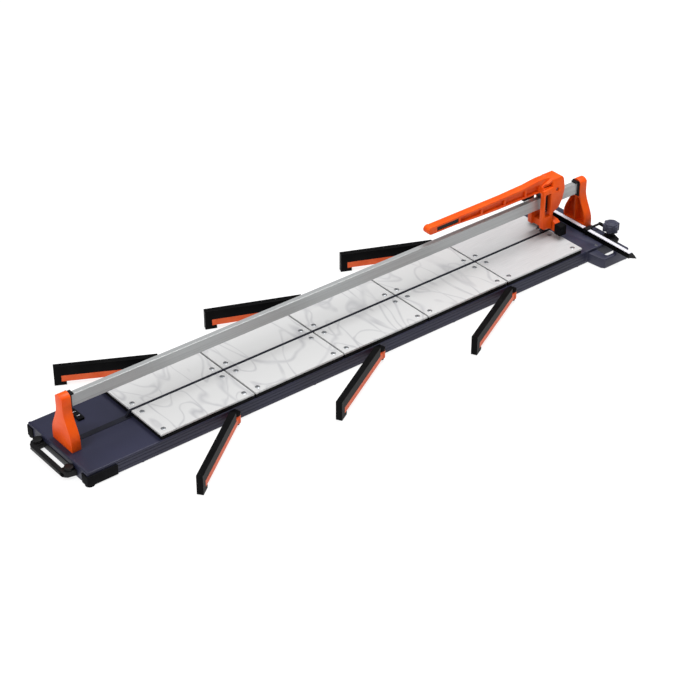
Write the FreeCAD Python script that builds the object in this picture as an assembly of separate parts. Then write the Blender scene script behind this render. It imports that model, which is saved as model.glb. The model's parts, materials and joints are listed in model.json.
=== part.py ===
import FreeCAD, Part
import math
import os

V = FreeCAD.Vector

# Rail tile cutter. Millimetres, +Z up. The origin lies on the bench, under the middle of the
# plate rows: +X runs along the rail towards the fence, +Y points to the rear.

# ---------------------------------------------------------------- breaking table
PLATE_PITCH = 300.0        # length of table taken by each plate
PLATES_PER_ROW = 5
PLATE_GAP = 5.0            # gap between neighbouring plates of a row
PLATE_DEPTH = 137.3        # plate size across the rail
PLATE_THICK = 5.0
CUSHION_THICK = 13.0       # rubber layer under the plates
CUSHION_INSET = 1.5        # cushion edge lies this far inside the plate edge
SCREW_EDGE = 20.0          # plate screws, from the plate edges in both directions
RIB_WIDTH = 7.0            # breaking rib between the two plate rows
RIB_PROUD = 1.0            # rib stands this far above the plates
RIB_GAP = 0.4
STRIP_HALF = 9.0           # dark strip on the left deck, in line with the rib: half width
STRIP_RAISE = 1.0

# ---------------------------------------------------------------- base
DECK_TOP = 42.0            # top of the steel base above the bench
BASE_UNDER = 3.0           # underside of the base above the bench
BASE_SIDE_LEDGE = 1.3      # base side stands out beyond the plates
BASE_WALL = 2.0
BASE_LIP = 14.0            # inward lip along the bottom of each side
BASE_ROUND = 3.0
SIDE_GROOVE = 0.8          # depth of the ribbing pressed into the sides
SIDE_GROOVES = (13.0, 24.0, 33.0)  # height of each groove
SIDE_GROOVE_WIDTH = 3.0
LEFT_DECK = 215.0          # deck beyond the plates, left end
RIGHT_DECK = 15.0          # deck beyond the plates, up to the right end casting
CAP_THICK = 7.0            # left end cap
CASTING_LENGTH = 125.0     # right end casting, which carries the right tower and the fence
CASTING_WALL = 5.0
LOOP_REACH = 57.0          # carrying loop of the casting, out from the base side
LOOP_BAR = 13.0            # bar along the front; the loop's sides are LOOP_LEFT and LOOP_RIGHT thick
LOOP_LEFT = 26.0
LOOP_RIGHT = 9.0
LOOP_TOP = 33.0
LOOP_UNDER = 2.0
LOOP_INSET = 17.0          # loop starts this far along the casting

# ---------------------------------------------------------------- rail and towers
RAIL_WIDTH = 16.0
RAIL_HEIGHT = 36.5
RAIL_WALL = 3.0
RAIL_CLEAR = 91.0          # rail underside above the plates
TOWER_THICK = 27.0
TOWER_FOOT = 46.0          # half width of the tower foot
TOWER_NECK = 16.0          # half width of the tower top
TOWER_ABOVE_RAIL = 9.5
LEFT_TOWER_SETBACK = 178.0   # inner face of the left tower to the plates
RIGHT_TOWER_SETBACK = 102.0  # inner face of the right tower to the plates
SEAT_THICK = 4.0           # plastic seat between rail end and tower
SEAT_LAP = 9.0             # seat hook over the rail end
TOWER_POCKET = 20.0        # depth of the pockets on the rail side
TOWER_RIM = 5.0            # wall left round the pockets
TOWER_RIB = 7.0            # rib between the two pockets
TOWER_BOLT_R = 4.0
TOWER_BOLT_IN = 14.0       # bolt to the side of the tower foot
BUFFER_X = 60.0            # slotted rubber buffer, from the left tower
BUFFER_Y = 62.0
BUFFER_SIZE = (18.0, 52.0, 7.0)

# ---------------------------------------------------------------- carrying handle and guards
HANDLE_REACH = 38.0
HANDLE_HALF = 88.0
HANDLE_BAR = 13.0
HANDLE_TOP = 25.0
HANDLE_THICK = 15.0
HANDLE_SLOT_HALF = 60.0
GUARD_LENGTH = 87.0
GUARD_WRAP = 24.0
GUARD_THICK = 5.0
GUARD_END_THICK = 3.0      # guard thickness over the end cap
GUARD_DROP = 9.0           # guard top below the deck
GUARD_PAD_R = 13.0

# ---------------------------------------------------------------- fence
FENCE_SETBACK = 84.0       # working face of the fence to the plates
FENCE_THICK = 14.0
FENCE_HEIGHT = 15.0
FENCE_REAR = 90.0          # fence end behind the rail
FENCE_FRONT = 250.0        # fence end in front of the rail
FENCE_TIP = 22.0
STRIP_WIDTH = 12.0
STRIP_THICK = 2.0
STOP_AT = 69.0             # stop finger, in front of the rail
STOP_FINGER = 14.0
STOP_DEPTH = 113.0         # length of the stop along the fence
STOP_REACH = 52.0          # stop plate, out behind the fence
KNOB_R = 20.0
KNOB_LOBE_R = 7.0
KNOB_LOBES = 6
KNOB_HEIGHT = 25.0
STUD_R = 4.0

# ---------------------------------------------------------------- carriage
CARRIAGE_FROM_END = 7.0    # rest place of the lever pivot, from the end of the plate rows
PIVOT_ABOVE_RAIL = 23.5
PIVOT_BEHIND = 9.0         # pivot behind the middle of the carriage
PIVOT_R = 6.0
PIN_SUNK = 7.0             # lever pin ends inside the cheeks
CARRIAGE_CHEEK = 6.6       # thickness of the carriage side plates
CARRIAGE_END = 9.0         # carriage end beyond the roller axles
SIDE_CLEAR = 1.0           # carriage side plates to the rail sides
ROLLER_R = 6.0
ROLLER_GAP = 0.3           # roller to rail
ROLLER_WIDTH = 13.0
ROLLER_BORE = 2.5
ROLLER_PITCH = 44.0

# ---------------------------------------------------------------- lever
CHEEK_CLEAR = 1.4          # lever cheek to the carriage side
CHEEK_THICK = 15.0
LEVER_FRONT = 55.0         # lever cheeks, in front of the pivot
LEVER_WALL = 12.0          # wall that closes the lever head in front of the carriage
HEAD_HALF = 22.5
BAR_HALF = 12.0
BAR_ROUND = 3.5            # rounding of the lever's top edges
HEAD_ROUND = 3.0
LEVER_REACH = 474.0        # pivot to the middle of the grip's round end
BAR_WEB = 4.0              # half thickness of the web between the side pockets
CROSS_BELOW_RAIL = 37.0    # crosspiece of the lever under the rail
CROSS_ABOVE_WHEEL = 7.5
PAD_UNDER = 10.0           # lever pad, underside below the pivot
STOP_LUG = 6.0             # lug of the carriage that stops the lever going down
LEVER_DOWN = 3.5           # degrees the lever can go down from its rest place
WHEEL_R = 11.0
WHEEL_WIDTH = 5.0
WHEEL_AXLE_R = 2.5
WHEEL_LIFT = 4.5           # wheel above the plates at rest
WHEEL_AHEAD = 27.0         # wheel axle in front of the pivot
FOOT_HALF = 65.0           # breaking foot, half width
FOOT_THICK = 20.0
FOOT_DROP = 18.0           # foot tips below the crosspiece
SHOE_LENGTH = 22.0
SHOE_WALL = 2.5
SHOE_TOP = 29.0            # shoe top above the foot's underside

# ---------------------------------------------------------------- side supports
ARM_PITCH = 490.0
ARM_COUNT = 3
ARM_IN = 225.0             # first pivot, from the end of the plate rows
ARM_PIVOT_OUT = 15.4       # pivot axis, out from the base side
ARM_LENGTH = 308.5
ARM_BAR_START = 26.0       # the black bar starts this far from the pivot, clear of the bracket
ARM_WIDTH = 18.0
ARM_BELOW_PLATES = 0.4
ARM_BAR_HEIGHT = 28.7
ARM_RAIL_HEIGHT = 20.7
ARM_FOOT_LENGTH = 33.5
ARM_HOOK = 20.0            # thickness of the bar's end down to its foot
ARM_FOOT_CLEAR = 1.0
ARM_PIN_R = 4.0
ARM_EYE_R = 12.0
ARM_LUG_THICK = 6.0
ARM_LUG_R = (8.5, 12.0)    # lower and upper lug
ARM_LUG_UNDER_DECK = 2.0   # upper lug's top, below the deck
ARM_NECK_HALF = 8.5        # half width of the lugs, between the base and the arm pin
REAR_ARM_ANGLES = (28.0, 22.5, 23.8)    # opened from the folded place, at rest
FRONT_ARM_ANGLES = (37.0, 29.6, 27.4)

# ---------------------------------------------------------------- fasteners and clearances
SCREW_R = 2.4
SCREW_HEAD_R = 6.0
SCREW_HEAD = 2.6
SCREW_BORE_R = 7.2         # counterbore of the plates round each screw head
SCREW_BORE = 3.0
RUN_FIT = 0.05             # radial running clearance of a pin in its bore
BOLT_CLEAR = 0.2           # radial clearance of a bolt in its hole
SLIDE_GAP = 0.5            # clearance between sliding or swinging faces

# ---------------------------------------------------------------- worked out
DECK_X0 = -PLATE_PITCH * PLATES_PER_ROW / 2 - LEFT_DECK
ROW_X0 = -PLATE_PITCH * PLATES_PER_ROW / 2
ROW_X1 = -ROW_X0
DECK_X1 = ROW_X1 + RIGHT_DECK
CASTING_X1 = DECK_X1 + CASTING_LENGTH
PLATE_Y0 = RIB_WIDTH / 2 + RIB_GAP
PLATE_Y1 = PLATE_Y0 + PLATE_DEPTH
BASE_HALF = PLATE_Y1 + BASE_SIDE_LEDGE
PLATE_UNDER = DECK_TOP + CUSHION_THICK
PLATE_TOP = PLATE_UNDER + PLATE_THICK
RAIL_Z0 = PLATE_TOP + RAIL_CLEAR
RAIL_Z1 = RAIL_Z0 + RAIL_HEIGHT
LEFT_TOWER_X1 = ROW_X0 - LEFT_TOWER_SETBACK
RIGHT_TOWER_X0 = ROW_X1 + RIGHT_TOWER_SETBACK
RAIL_X0 = LEFT_TOWER_X1 + SEAT_THICK
RAIL_X1 = RIGHT_TOWER_X0 - SEAT_THICK
TOWER_TOP = RAIL_Z1 + TOWER_ABOVE_RAIL
FENCE_X0 = ROW_X1 + FENCE_SETBACK
FENCE_X1 = FENCE_X0 + FENCE_THICK
FENCE_TOP = DECK_TOP + FENCE_HEIGHT
CARRIAGE_AT = ROW_X1 - CARRIAGE_FROM_END
CARRIAGE_X0 = CARRIAGE_AT - PIVOT_BEHIND - ROLLER_PITCH / 2 - CARRIAGE_END
CARRIAGE_X1 = CARRIAGE_X0 + ROLLER_PITCH + 2 * CARRIAGE_END
CARRIAGE_HALF = RAIL_WIDTH / 2 + SIDE_CLEAR + CARRIAGE_CHEEK
CHEEK_INNER = CARRIAGE_HALF + CHEEK_CLEAR
CHEEK_OUTER = CHEEK_INNER + CHEEK_THICK
PIVOT_Z = RAIL_Z1 + PIVOT_ABOVE_RAIL
WHEEL_X = CARRIAGE_AT - WHEEL_AHEAD
WHEEL_Z = PLATE_TOP + WHEEL_LIFT + WHEEL_R
CROSS_TOP = RAIL_Z0 - CROSS_BELOW_RAIL
CROSS_UNDER = WHEEL_Z + WHEEL_R + CROSS_ABOVE_WHEEL
FOOT_UNDER = CROSS_UNDER - FOOT_DROP
ARM_FIRST = ROW_X0 + ARM_IN
ARM_PIVOT_Y = BASE_HALF + ARM_PIVOT_OUT
ARM_TOP = PLATE_TOP - ARM_BELOW_PLATES
ARM_SPLIT = ARM_TOP - ARM_BAR_HEIGHT
ARM_UNDER = ARM_SPLIT - ARM_RAIL_HEIGHT


# ---------------------------------------------------------------- helpers
def box(x0, x1, y0, y1, z0, z1):
    return Part.makeBox(x1 - x0, y1 - y0, z1 - z0, V(x0, y0, z0))


def rod_x(x0, x1, y, z, r):
    return Part.makeCylinder(r, x1 - x0, V(x0, y, z), V(1, 0, 0))


def rod_y(x, y0, y1, z, r):
    return Part.makeCylinder(r, y1 - y0, V(x, y0, z), V(0, 1, 0))


def rod_z(x, y, z0, z1, r):
    return Part.makeCylinder(r, z1 - z0, V(x, y, z0), V(0, 0, 1))


def face_of(points):
    return Part.Face(Part.makePolygon(points + [points[0]]))


def prism_xz(points, y0, y1):
    """Outline in the XZ plane, extruded from y0 to y1."""
    return face_of([V(x, y0, z) for x, z in points]).extrude(V(0, y1 - y0, 0))


def prism_yz(points, x0, x1):
    return face_of([V(x0, y, z) for y, z in points]).extrude(V(x1 - x0, 0, 0))


def prism_xy(points, z0, z1):
    return face_of([V(x, y, z0) for x, y in points]).extrude(V(0, 0, z1 - z0))


def fuse(shapes):
    whole = shapes[0]
    if len(shapes) > 1:
        whole = whole.multiFuse(shapes[1:])
    return whole.removeSplitter()


def cut(shape, tools):
    return shape.cut(Part.makeCompound(tools))


def edges_along(shape, axis, test):
    """Straight edges parallel to an axis whose middle passes the test."""
    found = []
    for edge in shape.Edges:
        if not isinstance(edge.Curve, Part.Line):
            continue
        a, b = edge.Vertexes[0].Point, edge.Vertexes[-1].Point
        run = b - a
        if abs(abs(run.dot(axis)) - run.Length) < 1e-6 and test((a + b) * 0.5):
            found.append(edge)
    return found


def rounded(shape, radius, axis, test):
    return shape.makeFillet(radius, edges_along(shape, axis, test))


def mirror_y(shape):
    return shape.mirror(V(0, 0, 0), V(0, 1, 0))


def save(name, shape):
    shape.exportStep("parts/" + name + ".step")


X_AXIS = V(1, 0, 0)
Y_AXIS = V(0, 1, 0)
Z_AXIS = V(0, 0, 1)


# ---------------------------------------------------------------- plates
def plate_spans():
    """Left and right edge of each plate of a row."""
    for i in range(PLATES_PER_ROW):
        x0 = ROW_X0 + i * PLATE_PITCH
        yield x0 + PLATE_GAP / 2, x0 + PLATE_PITCH - PLATE_GAP / 2


def screw_places():
    """Centre of every plate screw."""
    for x0, x1 in plate_spans():
        for side in (-1, 1):
            for x in (x0 + SCREW_EDGE, x1 - SCREW_EDGE):
                for y in (PLATE_Y0 + SCREW_EDGE, PLATE_Y1 - SCREW_EDGE):
                    yield x, side * y


def make_plate(x0, x1, side):
    plate = box(x0, x1, PLATE_Y0, PLATE_Y1, PLATE_UNDER, PLATE_TOP)
    plate = plate.makeChamfer(0.6, [e for e in plate.Edges if e.CenterOfMass.z > PLATE_TOP - 0.1])
    holes = []
    for x in (x0 + SCREW_EDGE, x1 - SCREW_EDGE):
        for y in (PLATE_Y0 + SCREW_EDGE, PLATE_Y1 - SCREW_EDGE):
            holes.append(rod_z(x, y, PLATE_TOP - SCREW_BORE, PLATE_TOP + 1, SCREW_BORE_R))
            holes.append(rod_z(x, y, PLATE_UNDER - 1, PLATE_TOP, SCREW_R + 0.1))
    plate = cut(plate, holes)
    return plate if side > 0 else mirror_y(plate)


def make_cushions():
    pads = []
    for x0, x1 in plate_spans():
        for side in (-1, 1):
            ys = sorted((side * (PLATE_Y0 + CUSHION_INSET), side * (PLATE_Y1 - CUSHION_INSET)))
            pads.append(box(x0 + CUSHION_INSET, x1 - CUSHION_INSET, ys[0], ys[1], DECK_TOP, PLATE_UNDER))
    holes = [rod_z(x, y, DECK_TOP - 1, PLATE_UNDER + 1, SCREW_R + BOLT_CLEAR) for x, y in screw_places()]
    return cut(Part.makeCompound(pads), holes)


def make_screws():
    under = DECK_TOP - BASE_WALL - 1.0
    seat = PLATE_TOP - SCREW_BORE
    screws = []
    for x, y in screw_places():
        shank = rod_z(x, y, under, seat, SCREW_R)
        screws.append(fuse([shank, rod_z(x, y, seat, seat + SCREW_HEAD, SCREW_HEAD_R)]))
    return Part.makeCompound(screws)


# ---------------------------------------------------------------- base
def tower_bolt_places():
    """Bolts that hold each tower from under the deck."""
    for centre in (LEFT_TOWER_X1 - TOWER_THICK / 2, RIGHT_TOWER_X0 + TOWER_THICK / 2):
        for y in (-TOWER_FOOT + TOWER_BOLT_IN, TOWER_FOOT - TOWER_BOLT_IN):
            yield centre, y


def make_base_tray():
    half = BASE_HALF
    tray = box(DECK_X0, DECK_X1, -half, half, BASE_UNDER, DECK_TOP)
    tray = rounded(tray, BASE_ROUND, X_AXIS, lambda p: p.z > DECK_TOP - 1)
    inner = half - BASE_WALL
    hollow = box(DECK_X0 - 1, DECK_X1 + 1, -inner, inner, BASE_UNDER + BASE_WALL, DECK_TOP - BASE_WALL)
    mouth = box(DECK_X0 - 1, DECK_X1 + 1, -inner + BASE_LIP, inner - BASE_LIP,
                BASE_UNDER - 1, BASE_UNDER + BASE_WALL + 1)
    cuts = [hollow, mouth]
    for z in SIDE_GROOVES:
        for side in (-1, 1):
            ys = sorted((side * (half - SIDE_GROOVE), side * (half + 1)))
            cuts.append(box(DECK_X0 - 1, DECK_X1 + 1, ys[0], ys[1], z, z + SIDE_GROOVE_WIDTH))
    for x, y in screw_places():
        cuts.append(rod_z(x, y, DECK_TOP - BASE_WALL - 2, DECK_TOP + 1, SCREW_R + 0.05))
    for x, y in tower_bolt_places():
        if x < 0:
            cuts.append(rod_z(x, y, 0, DECK_TOP + 1, TOWER_BOLT_R + BOLT_CLEAR))
    return cut(tray, cuts)


def make_left_end_cap():
    cap = box(DECK_X0 - CAP_THICK, DECK_X0, -BASE_HALF, BASE_HALF, BASE_UNDER, DECK_TOP)
    cap = rounded(cap, BASE_ROUND, Y_AXIS, lambda p: p.z > DECK_TOP - 1 and p.x < DECK_X0 - 1)
    plug = box(DECK_X0, DECK_X0 + 10, -BASE_HALF + 2 * BASE_WALL, BASE_HALF - 2 * BASE_WALL,
               DECK_TOP - BASE_WALL - 8, DECK_TOP - BASE_WALL)
    holes = [rod_x(DECK_X0 - CAP_THICK - 1, DECK_X0 + 12, y, z, 3.0) for y, z in handle_screw_places()]
    return cut(fuse([cap, plug]), holes)


def loop_frame():
    """Carrying loop that stands out of the front of the right end casting."""
    x0 = DECK_X1 + LOOP_INSET
    x1 = CASTING_X1
    y1 = -BASE_HALF
    y0 = y1 - LOOP_REACH
    outer = [(x0 - 6, y1), (x0, y0 + 10), (x0 + 8, y0), (x1 - 5, y0), (x1, y0 + 5), (x1, y1)]
    left = x0 + LOOP_LEFT
    right = x1 - LOOP_RIGHT
    inner = [(left, y1 + 1), (left, y0 + LOOP_BAR + 4), (left + 4, y0 + LOOP_BAR),
             (right - 4, y0 + LOOP_BAR), (right, y0 + LOOP_BAR + 4), (right, y1 + 1)]
    ring = prism_xy(outer, LOOP_UNDER, LOOP_TOP).cut(prism_xy(inner, LOOP_UNDER - 1, LOOP_TOP + 1))
    edge = edges_along(ring, X_AXIS, lambda p: p.z > LOOP_TOP - 1 and p.y < y0 + 1)
    return ring.makeFillet(4.0, edge)


def deck_screw_place():
    """Screw sunk into the casting's deck, near its front corner."""
    return FENCE_X0 - 18.0, -BASE_HALF + 9.5


def make_right_casting():
    half = BASE_HALF
    block = box(DECK_X1, CASTING_X1, -half, half, BASE_UNDER, DECK_TOP)
    block = rounded(block, BASE_ROUND, X_AXIS, lambda p: p.z > DECK_TOP - 1)
    inner = half - CASTING_WALL
    hollow = box(DECK_X1 + CASTING_WALL, CASTING_X1 - CASTING_WALL, -inner, inner,
                 BASE_UNDER - 1, DECK_TOP - CASTING_WALL)
    post_y = -half - LOOP_REACH + LOOP_BAR / 2
    recess_x, recess_y = deck_screw_place()
    cuts = [hollow, rod_z(recess_x, recess_y, DECK_TOP - 3, DECK_TOP + 1, 5.0)]
    for x, y in tower_bolt_places():
        if x > 0:
            cuts.append(rod_z(x, y, 0, DECK_TOP + 1, TOWER_BOLT_R + BOLT_CLEAR))
    for y in fence_screw_places():
        cuts.append(rod_z(FENCE_X0 + FENCE_THICK / 2, y, 0, DECK_TOP + 1, 3.0 + BOLT_CLEAR))
    casting = cut(block, cuts)
    post = box(FENCE_X0, CASTING_X1 - LOOP_RIGHT - 10, post_y - LOOP_BAR / 2, post_y + LOOP_BAR / 2,
               LOOP_TOP - 12, DECK_TOP)
    return fuse([casting, loop_frame(), post])


def make_rib():
    """Rib between the plate rows, with a flat strip that carries its line on to the left tower."""
    top = PLATE_TOP + RIB_PROUD
    profile = [(ROW_X0 - 16, DECK_TOP), (ROW_X1 + 2, DECK_TOP), (ROW_X1 + 2, top), (ROW_X0 - 2, top),
               (ROW_X0 - 16, DECK_TOP + STRIP_RAISE)]
    rib = prism_xz(profile, -RIB_WIDTH / 2, RIB_WIDTH / 2)
    strip = box(LEFT_TOWER_X1 + 2, ROW_X0 - 1, -STRIP_HALF, STRIP_HALF, DECK_TOP, DECK_TOP + STRIP_RAISE)
    return fuse([rib, strip])


def make_feet():
    pads = []
    for x in (DECK_X0 + 160.0, ROW_X0 / 3, ROW_X1 / 3, DECK_X1 - 30.0):
        for side in (-1, 1):
            y = side * (BASE_HALF - BASE_WALL - BASE_LIP / 2)
            pads.append(rod_z(x, y, 0, BASE_UNDER, BASE_LIP / 2))
    loop_y = -BASE_HALF - LOOP_REACH + LOOP_BAR / 2
    pads.append(rod_z(CASTING_X1 - LOOP_BAR / 2 - 6, loop_y, 0, LOOP_UNDER, 5.5))
    pads.append(box(CASTING_X1 - CASTING_WALL, CASTING_X1, BASE_HALF - 40, BASE_HALF - 10, 0, BASE_UNDER))
    return Part.makeCompound(pads)


# ---------------------------------------------------------------- towers and rail
def tower_outline(inset):
    """Closed outline of a tower in the YZ plane, as a face at x = 0."""
    z0 = DECK_TOP + inset
    foot = TOWER_FOOT - inset
    neck = TOWER_NECK - inset
    knee = DECK_TOP + 24.0
    shoulder = RAIL_Z0 - 12.0
    top = TOWER_TOP - inset
    right = [V(0, foot, z0), V(0, foot, knee)]
    side = Part.BSplineCurve()
    side.interpolate([V(0, foot, knee), V(0, foot * 0.76, knee + 38), V(0, neck + 3, shoulder),
                      V(0, neck, RAIL_Z0 + 10)])
    other = Part.BSplineCurve()
    other.interpolate([V(0, -foot, knee), V(0, -foot * 0.76, knee + 38), V(0, -neck - 3, shoulder),
                       V(0, -neck, RAIL_Z0 + 10)])
    crown = 9.0 - inset / 2
    arc = Part.Arc(V(0, neck, top - crown), V(0, 0, top), V(0, -neck, top - crown))
    edges = [Part.makeLine(right[0], right[1]), side.toShape(),
             Part.makeLine(V(0, neck, RAIL_Z0 + 10), V(0, neck, top - crown)), arc.toShape(),
             Part.makeLine(V(0, -neck, top - crown), V(0, -neck, RAIL_Z0 + 10)), other.toShape(),
             Part.makeLine(V(0, -foot, knee), V(0, -foot, z0)), Part.makeLine(V(0, -foot, z0), right[0])]
    return Part.Face(Part.Wire(Part.__sortEdges__(edges)))


def make_tower(inner_x, outward, bolts):
    """Tower with two pockets beside a centre rib on the rail side."""
    sign = 1 if outward > 0 else -1
    body = tower_outline(0.0).extrude(V(sign * TOWER_THICK, 0, 0))
    body.translate(V(inner_x, 0, 0))
    pocket = tower_outline(TOWER_RIM).extrude(V(sign * TOWER_POCKET, 0, 0))
    pocket.translate(V(inner_x - sign * 0.001, 0, 0))
    low = box(inner_x - 40, inner_x + 40, -TOWER_FOOT, TOWER_FOOT, DECK_TOP + 15.0, RAIL_Z0 - 14.0)
    rib = box(inner_x - 40, inner_x + 40, -TOWER_RIB / 2, TOWER_RIB / 2, DECK_TOP, TOWER_TOP)
    cuts = [pocket.common(low).cut(rib)]
    for x, y in bolts:
        cuts.append(rod_z(x, y, DECK_TOP - 1, DECK_TOP + 13.0, TOWER_BOLT_R + BOLT_CLEAR))
    tower = cut(body, cuts)
    spigot = box(min(inner_x, inner_x - sign * 14), max(inner_x, inner_x - sign * 14),
                 -RAIL_WIDTH / 2 + RAIL_WALL + 0.2, RAIL_WIDTH / 2 - RAIL_WALL - 0.2,
                 RAIL_Z0 + RAIL_WALL + 0.2, RAIL_Z1 - RAIL_WALL - 0.2)
    return fuse([tower, spigot])


def rail_section(grow):
    half = RAIL_WIDTH / 2 + grow
    return (-half, half, RAIL_Z0 - grow, RAIL_Z1 + grow)


def make_rail():
    y0, y1, z0, z1 = rail_section(0.0)
    rail = box(RAIL_X0, RAIL_X1, y0, y1, z0, z1)
    rail = rounded(rail, 1.5, X_AXIS, lambda p: True)
    y0, y1, z0, z1 = rail_section(-RAIL_WALL)
    return rail.cut(box(RAIL_X0 - 1, RAIL_X1 + 1, y0, y1, z0, z1))


def make_rail_seats():
    """Black plastic seats between each rail end and its tower, hooked over the rail top."""
    seats = []
    y0, y1, z0, z1 = rail_section(-RAIL_WALL)
    for inner, sign in ((LEFT_TOWER_X1, 1), (RIGHT_TOWER_X0, -1)):
        xs = sorted((inner, inner + sign * SEAT_THICK))
        hook = sorted((inner, inner + sign * (SEAT_THICK + SEAT_LAP)))
        plate = box(xs[0], xs[1], -TOWER_NECK + 2, TOWER_NECK - 2, RAIL_Z0 - 6, RAIL_Z1 + 4)
        cap = box(hook[0], hook[1], -RAIL_WIDTH / 2 - 2, RAIL_WIDTH / 2 + 2, RAIL_Z1, RAIL_Z1 + 4)
        hole = box(xs[0] - 1, xs[1] + 1, y0, y1, z0, z1)
        seats.append(fuse([plate, cap]).cut(hole))
    return Part.makeCompound(seats)


def make_tower_bolts():
    bolts = []
    for x, y in tower_bolt_places():
        wall = BASE_WALL if x < 0 else CASTING_WALL
        under = DECK_TOP - wall
        shank = rod_z(x, y, under, DECK_TOP + 12.0, TOWER_BOLT_R)
        head = rod_z(x, y, under - 7.0, under, 7.0)
        bolts.append(fuse([shank, head]))
    return Part.makeCompound(bolts)


def make_end_buffer():
    """Slotted rubber buffer on the deck, behind the rail line."""
    length, width, height = BUFFER_SIZE
    x0 = LEFT_TOWER_X1 + BUFFER_X
    block = box(x0, x0 + length, BUFFER_Y, BUFFER_Y + width, DECK_TOP, DECK_TOP + height)
    slots = []
    for i in range(2):
        y0 = BUFFER_Y + 5.0 + i * width / 2
        slots.append(box(x0 + 8, x0 + 13, y0, y0 + 18, DECK_TOP + height - 2, DECK_TOP + height + 1))
    return cut(block, slots)


# ---------------------------------------------------------------- handle and guards
def handle_screw_places():
    for side in (-1, 1):
        yield side * (HANDLE_SLOT_HALF + 15.5), HANDLE_TOP - HANDLE_THICK / 2


def make_handle():
    x1 = DECK_X0 - CAP_THICK
    x0 = x1 - HANDLE_REACH
    z0 = HANDLE_TOP - HANDLE_THICK
    outer = [(x1, -HANDLE_HALF - 6), (x0 + 12, -HANDLE_HALF), (x0, -HANDLE_HALF + 14),
             (x0, HANDLE_HALF - 14), (x0 + 12, HANDLE_HALF), (x1, HANDLE_HALF + 6)]
    loop = prism_xy(outer, z0, HANDLE_TOP)
    slot = box(x0 + HANDLE_BAR, x1 - 1.5, -HANDLE_SLOT_HALF, HANDLE_SLOT_HALF, z0 - 1, HANDLE_TOP + 1)
    loop = loop.cut(slot)
    bosses = []
    holes = []
    for y, z in handle_screw_places():
        bosses.append(rod_z(x1 - 13, y, z0, HANDLE_TOP + 8, 12.5))
        holes.append(rod_x(x1 - 18, x1 + 1, y, z, 3.0))
        holes.append(rod_x(x0 - 20, x1 - 10, y, z, 6.0))
    loop = fuse([loop] + bosses)
    grip = edges_along(loop, Y_AXIS, lambda p: p.x < x0 + 1)
    return cut(loop.makeFillet(5.0, grip), holes)


def make_guards():
    """Rubber corner guards of the left end, each with a round pad under the corner."""
    guards = []
    end = DECK_X0 - CAP_THICK
    x0 = end - GUARD_END_THICK
    y1 = BASE_HALF + GUARD_THICK
    top = DECK_TOP - GUARD_DROP
    low = BASE_UNDER + 1.0
    inside = box(end, DECK_X1, -BASE_HALF, BASE_HALF, 0, DECK_TOP)
    for side in (-1, 1):
        along = box(end, end + GUARD_LENGTH, BASE_HALF, y1, low, top)
        across = box(x0, end, BASE_HALF - GUARD_WRAP, y1, low, top)
        guard = rounded(fuse([along, across]), 5.0, Z_AXIS, lambda p: p.x < x0 + 1 and p.y > y1 - 1)
        pad_x = x0 + GUARD_PAD_R
        pad_y = y1 - GUARD_PAD_R
        pad = rod_z(pad_x, pad_y, 0, BASE_UNDER, GUARD_PAD_R)
        skirt = rod_z(pad_x, pad_y, BASE_UNDER, low, GUARD_PAD_R).cut(inside)
        guard = fuse([guard, pad, skirt])
        guards.append(guard if side > 0 else mirror_y(guard))
    return Part.makeCompound(guards)


# ---------------------------------------------------------------- fence and stop
def fence_screw_places():
    return (-BASE_HALF + 32.5, 0.0, FENCE_REAR - 25.0)


def make_fence():
    bar = box(FENCE_X0, FENCE_X1, -FENCE_FRONT, FENCE_REAR, DECK_TOP, FENCE_TOP)
    groove = box(FENCE_X0 - 1, FENCE_X0 + 2, -FENCE_FRONT - 1, FENCE_REAR + 1,
                 FENCE_TOP - 4.5, FENCE_TOP - 1.5)
    holes = [rod_z(FENCE_X0 + FENCE_THICK / 2, y, DECK_TOP - 1, DECK_TOP + 12.5, 3.0 + BOLT_CLEAR)
             for y in fence_screw_places()]
    return cut(bar, [groove] + holes)


def make_strip():
    x0 = FENCE_X0 + (FENCE_THICK - STRIP_WIDTH) / 2
    return box(x0, x0 + STRIP_WIDTH, -FENCE_FRONT + 1, FENCE_REAR - 2, FENCE_TOP, FENCE_TOP + STRIP_THICK)


def make_fence_tip():
    z1 = FENCE_TOP
    z0 = DECK_TOP + 2.0
    y = -FENCE_FRONT
    x_mid = (FENCE_X0 + FENCE_X1) / 2
    base = Part.makePolygon([V(FENCE_X0, y, z0), V(FENCE_X1, y, z0), V(FENCE_X1, y, z1), V(FENCE_X0, y, z1),
                             V(FENCE_X0, y, z0)])
    end = Part.makePolygon([V(x_mid - 2, y - 18, z0 + 5), V(x_mid + 2, y - 18, z0 + 5),
                            V(x_mid + 2, y - 18, z0 + 10), V(x_mid - 2, y - 18, z0 + 10),
                            V(x_mid - 2, y - 18, z0 + 5)])
    tip = Part.makeLoft([base, end], True, True)
    pin = rod_y(x_mid, y - FENCE_TIP, y - 15, z0 + 7.5, 2.0)
    return fuse([tip, pin])


def knob_centre():
    return FENCE_X1 + STOP_REACH - 14.0, -STOP_AT - 53.0


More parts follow.
